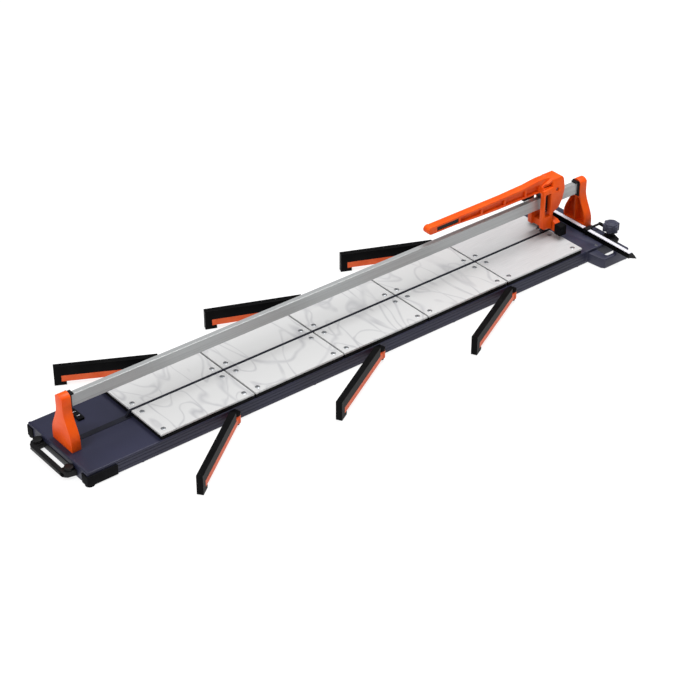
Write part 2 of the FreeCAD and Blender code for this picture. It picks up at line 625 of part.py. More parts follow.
def make_stop():
    """Sliding stop: a finger hooked over the fence, a back rod and a plate with the clamp boss."""
    y1 = -STOP_AT + STOP_FINGER / 2
    y0 = -STOP_AT - STOP_FINGER / 2
    top = FENCE_TOP + STRIP_THICK
    gap = SLIDE_GAP
    hook = fuse([box(FENCE_X0 - gap - 3.5, FENCE_X1 + gap + 7, y0, y1, top + gap, top + gap + 4.5),
                 box(FENCE_X0 - gap - 3.5, FENCE_X0 - gap, y0, y1, DECK_TOP + 11, top + gap + 4.5),
                 box(FENCE_X1 + gap, FENCE_X1 + gap + 7, y0, y1, DECK_TOP + gap, top + gap + 4.5)])
    kx, ky = knob_centre()
    back = FENCE_X1 + STOP_REACH
    yc = (y0 + y1) / 2
    rod = rod_x(FENCE_X1 + gap + 3, back - 4, yc, DECK_TOP + 17, 3.5)
    link = box(back - 10, back - 3, ky, yc + 3.5, DECK_TOP + 13, DECK_TOP + 20.5)
    far = y1 - STOP_DEPTH
    plate = prism_xy([(FENCE_X1 + gap, ky + 10), (kx, ky + 14), (back - 2, ky), (back - 12, ky - 34),
                      (FENCE_X1 + gap + 4, far), (FENCE_X1 + gap, far)], DECK_TOP + gap, DECK_TOP + 6.5)
    boss = rod_z(kx, ky, DECK_TOP + gap, DECK_TOP + 20.5, 13.0)
    stop = fuse([hook, rod, link, plate, boss])
    return stop.cut(rod_z(kx, ky, DECK_TOP, DECK_TOP + 30, STUD_R + RUN_FIT))


def make_knob():
    kx, ky = knob_centre()
    z0 = DECK_TOP + 20.5 + SLIDE_GAP
    pieces = [rod_z(kx, ky, z0, z0 + KNOB_HEIGHT, KNOB_R)]
    for i in range(KNOB_LOBES):
        a = 2 * math.pi * (i + 0.5) / KNOB_LOBES
        pieces.append(rod_z(kx + (KNOB_R - 1.5) * math.cos(a), ky + (KNOB_R - 1.5) * math.sin(a),
                            z0, z0 + KNOB_HEIGHT - 3, KNOB_LOBE_R))
    pieces.append(Part.makeCone(KNOB_R - 4, KNOB_R - 9, 4, V(kx, ky, z0 + KNOB_HEIGHT)))
    pieces.append(rod_z(kx, ky, DECK_TOP + 1.5, z0, STUD_R))
    return fuse(pieces)


# ---------------------------------------------------------------- carriage
def roller_places():
    """Name, x and z of each rail roller."""
    mid = (CARRIAGE_X0 + CARRIAGE_X1) / 2
    high = RAIL_Z1 + ROLLER_R + ROLLER_GAP
    low = RAIL_Z0 - ROLLER_R - ROLLER_GAP
    for end, x in (("left", mid - ROLLER_PITCH / 2), ("right", mid + ROLLER_PITCH / 2)):
        yield "top_" + end, x, high
        yield "bottom_" + end, x, low


def make_carriage():
    x0 = CARRIAGE_X0
    x1 = CARRIAGE_X1
    low = RAIL_Z0 - 2 * ROLLER_R
    high = RAIL_Z1 + 2 * ROLLER_R
    boss = 2 * PIVOT_R
    outline = [(x0, low), (x1, low), (x1, high - 2), (CARRIAGE_AT + boss, PIVOT_Z),
               (CARRIAGE_AT + boss / 2, PIVOT_Z + boss - 1), (CARRIAGE_AT - boss / 2, PIVOT_Z + boss - 1),
               (CARRIAGE_AT - boss, PIVOT_Z), (x0 + 9, high - 4), (x0, high - 9)]
    block = prism_xz(outline, -CARRIAGE_HALF, CARRIAGE_HALF)
    half = RAIL_WIDTH / 2 + SIDE_CLEAR
    tunnel = box(x0 - 1, x1 + 1, -half, half, low - 1, high + 1)
    roof = box(CARRIAGE_AT - boss, CARRIAGE_AT + boss, -half, half, RAIL_Z1 + 2, PIVOT_Z + boss)
    drop = (CARRIAGE_AT - x0 + STOP_LUG) * math.sin(math.radians(LEVER_DOWN))
    stop = box(x0 - STOP_LUG, x0 + 9, -CARRIAGE_HALF, CARRIAGE_HALF, RAIL_Z1 + 2, PIVOT_Z - 1.5 - drop)
    block = fuse([block, stop])
    cuts = [tunnel.cut(roof).cut(stop)]
    for name, x, z in roller_places():
        cuts.append(rod_y(x, -half, half, z, ROLLER_R + 1))
        cuts.append(rod_y(x, -CARRIAGE_HALF - 1, CARRIAGE_HALF + 1, z, ROLLER_BORE))
    cuts.append(rod_y(CARRIAGE_AT, -CARRIAGE_HALF - 1, CARRIAGE_HALF + 1, PIVOT_Z, PIVOT_R))
    return cut(block, cuts)


def make_roller(x, z):
    half = ROLLER_WIDTH / 2
    roller = rod_y(x, -half, half, z, ROLLER_R)
    return roller.cut(rod_y(x, -half - 1, half + 1, z, ROLLER_BORE + RUN_FIT))


def make_roller_axles():
    axles = [rod_y(x, -CARRIAGE_HALF, CARRIAGE_HALF, z, ROLLER_BORE) for name, x, z in roller_places()]
    return Part.makeCompound(axles)


def make_lever_pin():
    return rod_y(CARRIAGE_AT, -CHEEK_OUTER + PIN_SUNK, CHEEK_OUTER - PIN_SUNK, PIVOT_Z, PIVOT_R)


# ---------------------------------------------------------------- lever
def at_pivot(points):
    """Outline points measured from the pivot, moved to their place."""
    return [(CARRIAGE_AT + x, PIVOT_Z + z) for x, z in points]


def bar_outline():
    end = -LEVER_REACH
    upper = [(end, 33.5), (-200, 34.0), (-110, 37.0), (-60, 42.0), (-38, 42.0), (-14, 36.0)]
    lower = [(-14, 0.0), (-60, 0.0), (-123, 1.0), (-224, 1.5), (-303, 4.5), (-386, 9.5), (end, 10.0)]
    return at_pivot(upper + lower)


def cheek_outline(front):
    """Side of the lever head: wide round the pivot, narrowing down to the crosspiece."""
    upper = at_pivot([(19, -38), (28, 0), (29, 26), (25, 33), (-14, 33), (-16, 12)])
    lower = [(front, CROSS_UNDER + 2), (front + 3, CROSS_UNDER), (CARRIAGE_AT - 20, CROSS_UNDER - 6),
             (CARRIAGE_AT - 16, CROSS_TOP + 26), (CARRIAGE_AT + 6, CROSS_TOP + 37)]
    return lower + upper + [(front, PIVOT_Z + 9)]


def side_edges_above(shape, z, half):
    """Edges along both sides of a shape, at half its width, above a height."""
    return [e for e in shape.Edges if e.CenterOfMass.z > z and abs(e.CenterOfMass.y) > half - 1]


def make_lever():
    front = CARRIAGE_AT - LEVER_FRONT
    grip_r = (33.5 - 10.0) / 2
    bar = prism_xz(bar_outline(), -BAR_HALF, BAR_HALF)
    bar = bar.makeFillet(BAR_ROUND, side_edges_above(bar, PIVOT_Z + 32, BAR_HALF))
    grip_end = rod_y(CARRIAGE_AT - LEVER_REACH, -BAR_HALF, BAR_HALF, PIVOT_Z + 10 + grip_r, grip_r)
    cheeks = prism_xz(cheek_outline(front), -CHEEK_OUTER, CHEEK_OUTER)
    cheeks = rounded(cheeks, HEAD_ROUND, Y_AXIS, lambda p: p.x > CARRIAGE_AT + 20)
    cheeks = rounded(cheeks, 4.0, Y_AXIS, lambda p: p.z < CROSS_UNDER + 1 and p.x < CARRIAGE_AT - 18)
    head_points = at_pivot([(-53, 4), (28, 4), (29, 26), (24, 33), (-14, 35), (-53, 20)])
    head = prism_xz(head_points, -HEAD_HALF, HEAD_HALF)
    head = rounded(head, HEAD_ROUND, Y_AXIS, lambda p: p.x > CARRIAGE_AT + 20 and p.z > PIVOT_Z + 20)
    head = head.makeFillet(BAR_ROUND, side_edges_above(head, PIVOT_Z + 34, HEAD_HALF))
    slopes = []
    for side in (-1, 1):
        far = side * (CHEEK_OUTER + 1)
        near = side * HEAD_HALF
        section = [(far, PIVOT_Z - 6), (far, PIVOT_Z + 40), (near, PIVOT_Z + 40), (near, PIVOT_Z + 33),
                   (side * CHEEK_OUTER, PIVOT_Z - 6)]
        slopes.append(prism_yz(section, front - 5, CARRIAGE_AT + 40))
    solid = fuse([cut(cheeks, slopes), head, bar, grip_end])
    cavity = box(front + LEVER_WALL, CARRIAGE_AT + 60, -CHEEK_INNER, CHEEK_INNER,
                 FOOT_UNDER - 20, PIVOT_Z + 2 * PIVOT_R + 3)
    throat = box(front - 5, CARRIAGE_AT, -CHEEK_INNER, CHEEK_INNER, FOOT_UNDER - 20, PIVOT_Z - 1)
    bore = rod_y(CARRIAGE_AT, -CHEEK_OUTER - 1, CHEEK_OUTER + 1, PIVOT_Z, PIVOT_R + RUN_FIT)
    lever = cut(solid, [cavity, throat, bore] + side_pockets(front))
    cross = box(front + 10, CARRIAGE_AT - 20, -CHEEK_INNER, CHEEK_INNER, CROSS_UNDER, CROSS_TOP)
    return fuse([lever, cross])


def side_pockets(front):
    """Recesses between the stiffening ribs of the bar, and a window in each cheek."""
    pockets = []
    bays = ((-454, -372, 13.5, 27), (-366, -287, 10.5, 26), (-281, -197, 7.5, 26),
            (-191, -115, 5.5, 27), (-109, -60, 5, 26), (-52, -16, 13, 26))
    for side in (-1, 1):
        for a, b, low, high in bays:
            in_bar = a < -60
            skin = BAR_WEB if in_bar else HEAD_HALF - 6
            outer = BAR_HALF if in_bar else HEAD_HALF
            ys = sorted((side * skin, side * (outer + 1)))
            bay = box(CARRIAGE_AT + a, CARRIAGE_AT + b, ys[0], ys[1], PIVOT_Z + low, PIVOT_Z + high)
            pockets.append(bay)
        ys = sorted((side * (CHEEK_INNER - 1), side * (CHEEK_OUTER + 1)))
        pockets.append(box(front + 6, front + 29, ys[0], ys[1], CROSS_TOP + 17, PIVOT_Z - 4))
    return pockets


def make_grip_inserts():
    pads = []
    for side in (-1, 1):
        ys = sorted((side * BAR_WEB, side * (BAR_HALF - 1.5)))
        pads.append(box(CARRIAGE_AT - 453, CARRIAGE_AT - 373, ys[0], ys[1], PIVOT_Z + 14.5, PIVOT_Z + 26))
    return Part.makeCompound(pads)


def make_lever_pad():
    """Rubber pad under the lever, above the rail."""
    profile = at_pivot([(-118, 0.85), (-118, -PAD_UNDER + 2), (-116, -PAD_UNDER), (-84, -PAD_UNDER),
                        (-78, -4), (-78, 0.25)])
    return prism_xz(profile, -BAR_HALF + 2, BAR_HALF - 2)


def make_wheel_holder():
    top = CROSS_UNDER
    x0 = WHEEL_X - 10.0
    x1 = WHEEL_X + 7.0
    block = prism_xz([(x0, top), (x0, WHEEL_Z + 2), (WHEEL_X - 4, WHEEL_Z - 5), (WHEEL_X + 4, WHEEL_Z - 5),
                      (x1, WHEEL_Z + 2), (x1, top)], -8.0, 8.0)
    slot = rod_y(WHEEL_X, -WHEEL_WIDTH / 2 - SLIDE_GAP, WHEEL_WIDTH / 2 + SLIDE_GAP, WHEEL_Z, WHEEL_R + 1.0)
    return cut(block, [slot, rod_y(WHEEL_X, -9, 9, WHEEL_Z, WHEEL_AXLE_R)])


def make_wheel():
    half = WHEEL_WIDTH / 2
    bore = WHEEL_AXLE_R + RUN_FIT
    flank = WHEEL_R - half
    section = [(bore, -half), (flank, -half), (WHEEL_R, 0), (flank, half), (bore, half)]
    profile = [V(WHEEL_X + r, y, WHEEL_Z) for r, y in section]
    return face_of(profile).revolve(V(WHEEL_X, 0, WHEEL_Z), Y_AXIS, 360)


def foot_outline():
    """Half of the breaking foot in the YZ plane, centre to tip."""
    upper = [(0, CROSS_TOP), (CHEEK_OUTER, CROSS_TOP - 2), (FOOT_HALF - SHOE_LENGTH, FOOT_UNDER + 29),
             (FOOT_HALF, FOOT_UNDER + 17)]
    lower = [(FOOT_HALF, FOOT_UNDER), (CHEEK_OUTER, FOOT_UNDER + 2), (0, FOOT_UNDER + 6)]
    return upper + lower


def foot_span():
    x0 = CARRIAGE_AT - 14.0
    return x0, x0 + FOOT_THICK


def make_foot():
    x0, x1 = foot_span()
    half = prism_yz(foot_outline(), x0, x1)
    lug = box(CARRIAGE_AT - 20.0, x0, -CHEEK_INNER + 1, CHEEK_INNER - 1, CROSS_UNDER, CROSS_TOP)
    foot = fuse([half, mirror_y(half), lug])
    return foot.cut(Part.makeCompound([shoe_core(side) for side in (-1, 1)]))


def shoe_core(side):
    """Space of a rubber shoe at a foot tip."""
    x0, x1 = foot_span()
    ys = sorted((side * (FOOT_HALF - SHOE_LENGTH), side * (FOOT_HALF + SHOE_WALL)))
    shoe = box(x0 - SHOE_WALL, x1 + SHOE_WALL, ys[0], ys[1], FOOT_UNDER - SHOE_WALL, FOOT_UNDER + SHOE_TOP)
    shoe = rounded(shoe, 4.0, X_AXIS, lambda p: abs(p.y) > FOOT_HALF and p.z > FOOT_UNDER + SHOE_TOP - 1)
    tenon_y = sorted((side * (FOOT_HALF - SHOE_LENGTH - 1), side * (FOOT_HALF - 4)))
    return shoe.cut(box(x0 + 4, x1 - 4, tenon_y[0], tenon_y[1], FOOT_UNDER + 5, FOOT_UNDER + 16))


# ---------------------------------------------------------------- side supports
def arm_pivots():
    """Name, pivot and rest direction angle of each support arm; side is +1 behind the rail."""
    for i in range(ARM_COUNT):
        x = ARM_FIRST + i * ARM_PITCH
        yield "rear_" + str(i + 1), x, ARM_PIVOT_Y, 180.0 - REAR_ARM_ANGLES[i], 1
        yield "front_" + str(i + 1), x, -ARM_PIVOT_Y, 180.0 + FRONT_ARM_ANGLES[i], -1


def place_arm(shape, x, y, angle):
    """An arm is drawn with its pivot at the origin, pointing along +X."""
    shape.rotate(V(0, 0, 0), V(0, 0, 1), angle)
    shape.translate(V(x, y, 0))
    return shape


def lug_heights():
    """Bottom and top of the lower and the upper lug of an arm bracket."""
    top = DECK_TOP - ARM_LUG_UNDER_DECK
    return (ARM_UNDER - ARM_LUG_THICK, ARM_UNDER), (top - ARM_LUG_THICK, top)


def make_arm_bar():
    """Black bar that carries a tile, with a hooked end that stands on the bench."""
    half = ARM_WIDTH / 2
    hook = ARM_LENGTH - ARM_HOOK
    toe = ARM_LENGTH - ARM_FOOT_LENGTH
    outline = [(ARM_BAR_START, ARM_SPLIT), (hook, ARM_SPLIT), (hook, ARM_UNDER), (toe, ARM_UNDER),
               (toe, ARM_FOOT_CLEAR), (ARM_LENGTH, ARM_FOOT_CLEAR), (ARM_LENGTH, ARM_TOP),
               (ARM_BAR_START, ARM_TOP)]
    bar = prism_xz(outline, -half, half)
    return bar.makeFillet(1.5, edges_along(bar, X_AXIS, lambda p: p.z > ARM_TOP - 1))


def make_arm_rail():
    """Orange rail under the bar, with the eye that turns on the pin."""
    half = ARM_WIDTH / 2
    eye_top = lug_heights()[1][0] - SLIDE_GAP
    rail = box(0, ARM_LENGTH - ARM_HOOK, -half, half, ARM_UNDER + SLIDE_GAP, ARM_SPLIT)
    rail = rail.makeFillet(3.0, edges_along(rail, X_AXIS, lambda p: p.z < ARM_SPLIT - 1))
    eye = rod_z(0, 0, ARM_UNDER + SLIDE_GAP, eye_top, ARM_EYE_R)
    return fuse([rail, eye]).cut(rod_z(0, 0, ARM_UNDER - 1, ARM_TOP, ARM_PIN_R + RUN_FIT))


def make_brackets():
    brackets = []
    (low0, low1), (high0, high1) = lug_heights()
    for name, x, y, angle, side in arm_pivots():
        near = side * BASE_HALF
        back = sorted((near, near + side * 2.4))
        lug_y = sorted((near, y))
        pieces = [box(x - ARM_NECK_HALF, x + ARM_NECK_HALF, back[0], back[1], low0, high1)]
        for z0, z1, lug_r in ((low0, low1, ARM_LUG_R[0]), (high0, high1, ARM_LUG_R[1])):
            pieces.append(box(x - ARM_NECK_HALF, x + ARM_NECK_HALF, lug_y[0], lug_y[1], z0, z1))
            pieces.append(rod_z(x, y, z0, z1, lug_r))
        bracket = fuse(pieces)
        brackets.append(bracket.cut(rod_z(x, y, low0 - 1, high1 + 1, ARM_PIN_R)))
    return Part.makeCompound(brackets)


def make_arm_pins():
    pins = []
    (low0, low1), (high0, high1) = lug_heights()
    for name, x, y, angle, side in arm_pivots():
        pins.append(rod_z(x, y, low0 + 0.5, high1 + 0.8, ARM_PIN_R))
    return Part.makeCompound(pins)


def make_case_screws():
    screws = []
    for y, z in handle_screw_places():
        x1 = DECK_X0 - CAP_THICK
        screws.append(fuse([rod_x(x1 - 15, DECK_X0 + 8, y, z, 2.8), rod_x(x1 - 18, x1 - 15 + 5, y, z, 5.2)]))
    for y in fence_screw_places():
        x = FENCE_X0 + FENCE_THICK / 2
        under = DECK_TOP - CASTING_WALL
        screws.append(fuse([rod_z(x, y, under, DECK_TOP + 12, 3.0), rod_z(x, y, under - 5, under, 5.5)]))
    recess_x, recess_y = deck_screw_place()
    screws.append(rod_z(recess_x, recess_y, DECK_TOP - 3, DECK_TOP - 1, 4.6))
    return Part.makeCompound(screws)


# ---------------------------------------------------------------- export
os.makedirs("parts", exist_ok=True)

save("base_tray", make_base_tray())
save("left_end_cap", make_left_end_cap())
save("right_end_casting", make_right_casting())
save("breaking_rib", make_rib())
save("plate_cushions", make_cushions())
save("plate_screws", make_screws())
for number, (left, right) in enumerate(plate_spans(), start=1):
    save("plate_front_" + str(number), make_plate(left, right, -1))
    save("plate_rear_" + str(number), make_plate(left, right, 1))
bolt_places = list(tower_bolt_places())
save("tower_left", make_tower(LEFT_TOWER_X1, -1, bolt_places[:2]))
save("tower_right", make_tower(RIGHT_TOWER_X0, 1, bolt_places[2:]))
save("rail_seats", make_rail_seats())
save("tower_bolts", make_tower_bolts())
save("guide_rail", make_rail())
save("end_buffer", make_end_buffer())
save("carry_handle", make_handle())
save("corner_guards", make_guards())
save("rubber_feet", make_feet())
save("case_screws", make_case_screws())
save("fence_bar", make_fence())
save("ruler_strip", make_strip())
save("fence_tip", make_fence_tip())
save("stop_slider", make_stop())
save("stop_knob", make_knob())
save("carriage_body", make_carriage())
save("roller_axles", make_roller_axles())
save("lever_pin", make_lever_pin())
for label, roller_x, roller_z in roller_places():
    save("roller_" + label, make_roller(roller_x, roller_z))
save("lever", make_lever())
save("grip_inserts", make_grip_inserts())
save("lever_pad", make_lever_pad())
save("wheel_holder", make_wheel_holder())
save("wheel_axle", rod_y(WHEEL_X, -8, 8, WHEEL_Z, WHEEL_AXLE_R))
save("scoring_wheel", make_wheel())
save("breaking_foot", make_foot())
save("foot_shoes", Part.makeCompound([shoe_core(side) for side in (-1, 1)]))
save("arm_brackets", make_brackets())
save("arm_pins", make_arm_pins())
for label, pivot_x, pivot_y, heading, side in arm_pivots():
    save("arm_bar_" + label, place_arm(make_arm_bar(), pivot_x, pivot_y, heading))
    save("arm_rail_" + label, place_arm(make_arm_rail(), pivot_x, pivot_y, heading))
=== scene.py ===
import json
import math

import bpy
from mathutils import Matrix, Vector


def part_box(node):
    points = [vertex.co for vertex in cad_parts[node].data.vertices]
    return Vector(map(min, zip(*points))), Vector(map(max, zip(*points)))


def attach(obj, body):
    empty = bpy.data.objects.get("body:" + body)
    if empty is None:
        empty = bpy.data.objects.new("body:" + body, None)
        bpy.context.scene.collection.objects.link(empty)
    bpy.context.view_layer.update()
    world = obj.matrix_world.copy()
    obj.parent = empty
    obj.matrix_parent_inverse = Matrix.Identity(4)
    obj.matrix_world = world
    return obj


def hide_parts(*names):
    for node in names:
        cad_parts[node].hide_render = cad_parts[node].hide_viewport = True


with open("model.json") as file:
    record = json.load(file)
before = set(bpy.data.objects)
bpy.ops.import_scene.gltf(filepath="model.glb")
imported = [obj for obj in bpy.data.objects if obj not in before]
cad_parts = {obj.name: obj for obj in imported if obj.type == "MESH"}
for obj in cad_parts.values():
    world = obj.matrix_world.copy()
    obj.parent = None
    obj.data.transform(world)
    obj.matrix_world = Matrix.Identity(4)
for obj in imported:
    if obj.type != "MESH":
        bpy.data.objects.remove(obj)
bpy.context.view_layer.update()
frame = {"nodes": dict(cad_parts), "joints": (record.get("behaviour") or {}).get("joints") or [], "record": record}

MM = 0.001

# ---------------------------------------------------------------- places, read from the frame
BODIES = frame["record"]["behaviour"]["bodies"]
BODY_OF = {node: body for body, nodes in BODIES.items() for node in nodes}
SLOT_OF = {part["node"]: part["material_slot"] for part in frame["record"]["subparts"]}
PLATES = sorted(node for node in BODY_OF if node.startswith(("plate_front", "plate_rear")))
LAST_COLUMN = max(PLATES)[-1]
PIVOT_HEIGHT = [joint for joint in frame["joints"] if joint["name"] == "lever_lift"][0]["pos_m"][2]

# ---------------------------------------------------------------- sizes of the new pieces
PLATE_SCREW_EDGE = 20 * MM       # screw centre to the plate edges
SCREW_HEAD_R = 6 * MM
SCREW_HEAD = 2.2 * MM
SCREW_EDGE = 0.6 * MM            # rounding of the head's rim
SOCKET_R = 2.9 * MM              # to the corners of the hexagon

GRIP_END_R = 11.75 * MM
GRIP_END_RISE = 21.75 * MM       # grip centre above the pivot
GRIP_END_HALF = 12.2 * MM
GRIP_END_PROUD = 0.3 * MM        # the round end stands this far outside the CAD's
GRIP_END_EDGE = 3.2 * MM

CLIP_SHARES = (0.3, 0.7)         # places of the clips along the buffer block
CLIP_LENGTH_SHARE = 0.55         # of the block's length
CLIP_WIDTH = 3 * MM
CLIP_HEIGHT = 1.2 * MM
CLIP_EDGE = 0.4 * MM

MERGE_DISTANCE = 0.02 * MM       # joins the corners of neighbouring CAD facets
FLAT_ANGLE = math.radians(1)     # facets that meet flatter than this become one face
ROUNDED_ANGLE = math.radians(38)     # edges of CAD shapes sharper than this are rounded
BEVEL_ANGLE = math.radians(40)       # the same for new pieces

# Rounding of each cast or moulded node, in millimetres.
SOFTENED = {
    "lever": 2.2, "breaking_foot": 2.0, "tower_left": 2.0, "tower_right": 2.0, "right_end_casting": 2.0,
    "carry_handle": 1.5, "stop_slider": 1.0, "stop_knob": 1.8, "fence_tip": 1.0, "lever_pad": 1.0,
    "left_end_cap": 1.0, "corner_guards": 3.0, "end_buffer": 1.5,
}

# ---------------------------------------------------------------- sizes of the studio
FLOOR_SIZE = 40
FLOOR_GLOW = 0.8
WALL_TOP = 0.55                  # sine of the height where the dark walls end
CEILING = 0.85                   # and where the bright ceiling begins
WALL_LIGHT = 0.14
CEILING_LIGHT = 1.1
CAMERA_PLACE = (-2.8925, -3.5816, 2.9845)
CAMERA_AIM = (0.52203, 0.65020, -0.55203)
CAMERA_LENS = 100.27             # millimetres, on a sensor of the width below
CAMERA_SENSOR = 36

# Name, place, point that it shines at, diameter in metres and power in watts of each light.
LIGHTS = (
    ("key", (-3.4, -0.6, 2.6), (0, 0, 0), 1.6, 70),
    ("top", (1.3, 0.2, 3.8), (0.4, 0, 0), 2.0, 110),
    ("edge", (2.2, -1.8, 3.0), (0, 0, 0), 0.8, 10),
)


# ---------------------------------------------------------------- small helpers
def linear(code):
    """An sRGB hex colour as linear red, green, blue and alpha."""
    parts = [int(code[i:i + 2], 16) / 255 for i in (1, 3, 5)]
    return [c / 12.92 if c <= 0.04045 else ((c + 0.055) / 1.055) ** 2.4 for c in parts] + [1.0]


def add(tree, kind, settings=None, links=None):
    """Adds a node. A setting is an attribute of the node or the value of one of its inputs."""
    node = tree.nodes.new(kind)
    for key, value in (settings or {}).items():
        if isinstance(key, str) and hasattr(node, key):
            setattr(node, key, value)
        else:
            node.inputs[key].default_value = value
    for key, source in (links or {}).items():
        tree.links.new(source, node.inputs[key])
    return node


def begin(name, colour, metallic, roughness, gloss=0.5):
    """A new material. Returns the material, its tree, its shader and the place on the object. Gloss is how
    strongly a coat that isn't metal mirrors its surroundings."""
    made = bpy.data.materials.new(name)
    made.use_nodes = True
    tree = made.node_tree
    tree.nodes.clear()
    shader = add(tree, "ShaderNodeBsdfPrincipled", {
        "Base Color": linear(colour), "Metallic": metallic, "Roughness": roughness,
        "Specular IOR Level": gloss})
    add(tree, "ShaderNodeOutputMaterial", links={"Surface": shader.outputs[0]})
    made.diffuse_color = linear(colour)
    place = add(tree, "ShaderNodeTexCoord").outputs["Object"]
    return made, tree, shader, place


def grain(tree, place, size, stretch=(1, 1, 1), detail=2.0):
    """Noise whose bumps are about the given size in metres. A small stretch draws them out on that axis."""
    turned = add(tree, "ShaderNodeMapping", {"Scale": stretch}, {"Vector": place})
    return add(tree, "ShaderNodeTexNoise", {"Scale": 1 / size, "Detail": detail},
               {"Vector": turned.outputs[0]}).outputs[0]


def raise_by(tree, shader, pattern, height):
    """Raises the surface by a pattern, height in metres."""
    bump = add(tree, "ShaderNodeBump", {"Strength": 1.0, "Distance": height}, {"Height": pattern})
    tree.links.new(bump.outputs[0], shader.inputs["Normal"])


def shade_between(tree, shader, pattern, dark, light, low=0.35, high=0.65):
    """Colours the surface from dark to light by a pattern."""
    ramp = add(tree, "ShaderNodeValToRGB", links={0: pattern})
    ramp.color_ramp.elements[0].position = low
    ramp.color_ramp.elements[0].color = linear(dark)
    ramp.color_ramp.elements[1].position = high
    ramp.color_ramp.elements[1].color = linear(light)
    tree.links.new(ramp.outputs[0], shader.inputs["Base Color"])


def rough_between(tree, shader, pattern, low, high):
    """Varies the roughness from low to high by a pattern."""
    spread = add(tree, "ShaderNodeMapRange", {"To Min": low, "To Max": high}, {"Value": pattern})
    tree.links.new(spread.outputs[0], shader.inputs["Roughness"])


# ---------------------------------------------------------------- materials
def powder_coated_steel():
    """Polyester powder coat on sheet steel: satin, with orange peel. The peel is about 1 mm and is drawn at
    3 mm, because finer would not show."""
    made, tree, shader, place = begin("Powder coated steel", "#242539", 0.0, 0.42, 0.3)
    shade_between(tree, shader, grain(tree, place, 0.18), "#212234", "#28293e")
    raise_by(tree, shader, grain(tree, place, 3 * MM), 0.05 * MM)
    return made


def painted_casting():
    """Dark painted aluminium casting: the sand-cast skin shows through the paint as soft 5 mm lumps."""
    made, tree, shader, place = begin("Painted aluminium casting, grey", "#2d2e40", 0.0, 0.40, 0.3)
    shade_between(tree, shader, grain(tree, place, 0.06), "#28293a", "#353648")
    raise_by(tree, shader, grain(tree, place, 5 * MM, detail=4), 0.12 * MM)
    return made


def orange_painted_casting():
    """Gloss orange paint on cast aluminium: soft highlights over 6 mm casting lumps, a little thinner and
    lighter in patches."""
    made, tree, shader, place = begin("Painted aluminium casting, orange", "#e44f0a", 0.0, 0.38, 0.2)
    shade_between(tree, shader, grain(tree, place, 0.05), "#de4a08", "#e8560e")
    raise_by(tree, shader, grain(tree, place, 6 * MM, detail=4), 0.10 * MM)
    return made


def ground_aluminium_marbled():
    """Cast aluminium tooling plate, ground flat: pale, with grey flow marks of the casting. The marks are
    soft bent strokes that cross each other and fade in and out in 70 mm clouds. A stroke runs wherever the
    flow pattern passes a multiple of a fixed step."""
    made, tree, shader, place = begin("Ground cast aluminium", "#c4c4c4", 0.0, 0.5, 0.3)
    half_step = 0.06
    softness = 0.014
    strokes = []
    for scale, turn in ((5.0, 0.6), (7.0, 2.1)):
        turned = add(tree, "ShaderNodeMapping", {"Rotation": (0, 0, turn), "Scale": (1, 0.45, 1)},
                     {"Vector": place})
        flow = add(tree, "ShaderNodeTexNoise", {"Scale": scale, "Detail": 1.5, "Distortion": 0.5},
                   {"Vector": turned.outputs[0]})
        away = add(tree, "ShaderNodeMath", {"operation": "SUBTRACT", 1: 0.5}, {0: flow.outputs[0]})
        near = add(tree, "ShaderNodeMath", {"operation": "PINGPONG", 1: half_step}, {0: away.outputs[0]})
        fade = {"From Min": 0.0, "From Max": softness, "To Min": 1.0, "To Max": 0.0}
        strokes.append(add(tree, "ShaderNodeMapRange", fade, {"Value": near.outputs[0]}).outputs[0])
    lines = add(tree, "ShaderNodeMath", {"operation": "MAXIMUM"}, {0: strokes[0], 1: strokes[1]})
    cloud = grain(tree, place, 0.07)
    mixed = add(tree, "ShaderNodeMath", {"operation": "MULTIPLY"}, {0: lines.outputs[0], 1: cloud})
    shade_between(tree, shader, mixed.outputs[0], "#bfbfbf", "#a2a2a5", 0.05, 0.75)
    brushed = grain(tree, place, 1.2 * MM, (0.03, 1, 1))
    rough_between(tree, shader, brushed, 0.42, 0.58)
    raise_by(tree, shader, brushed, 0.01 * MM)
    return made


def ground_aluminium_plain():
    """The same plate with a plain ground face: 1 mm brushing along the table."""
    made, tree, shader, place = begin("Ground aluminium", "#bababb", 0.0, 0.5, 0.4)
    brushed = grain(tree, place, 1.2 * MM, (0.02, 1, 1))
    shade_between(tree, shader, brushed, "#b2b2b3", "#c0c0c1")
    rough_between(tree, shader, brushed, 0.38, 0.55)
    raise_by(tree, shader, brushed, 0.02 * MM)
    return made


def anodised_rail():
    """Clear anodised aluminium extrusion: satin grey, with die lines along the rail about 1 mm apart."""
    made, tree, shader, place = begin("Anodised aluminium extrusion", "#a2a4a5", 0.5, 0.40)
    lines = grain(tree, place, 1.4 * MM, (0.004, 1, 1), 3)
    shade_between(tree, shader, lines, "#a4a6a7", "#b3b5b5")
    raise_by(tree, shader, lines, 0.02 * MM)
    return made


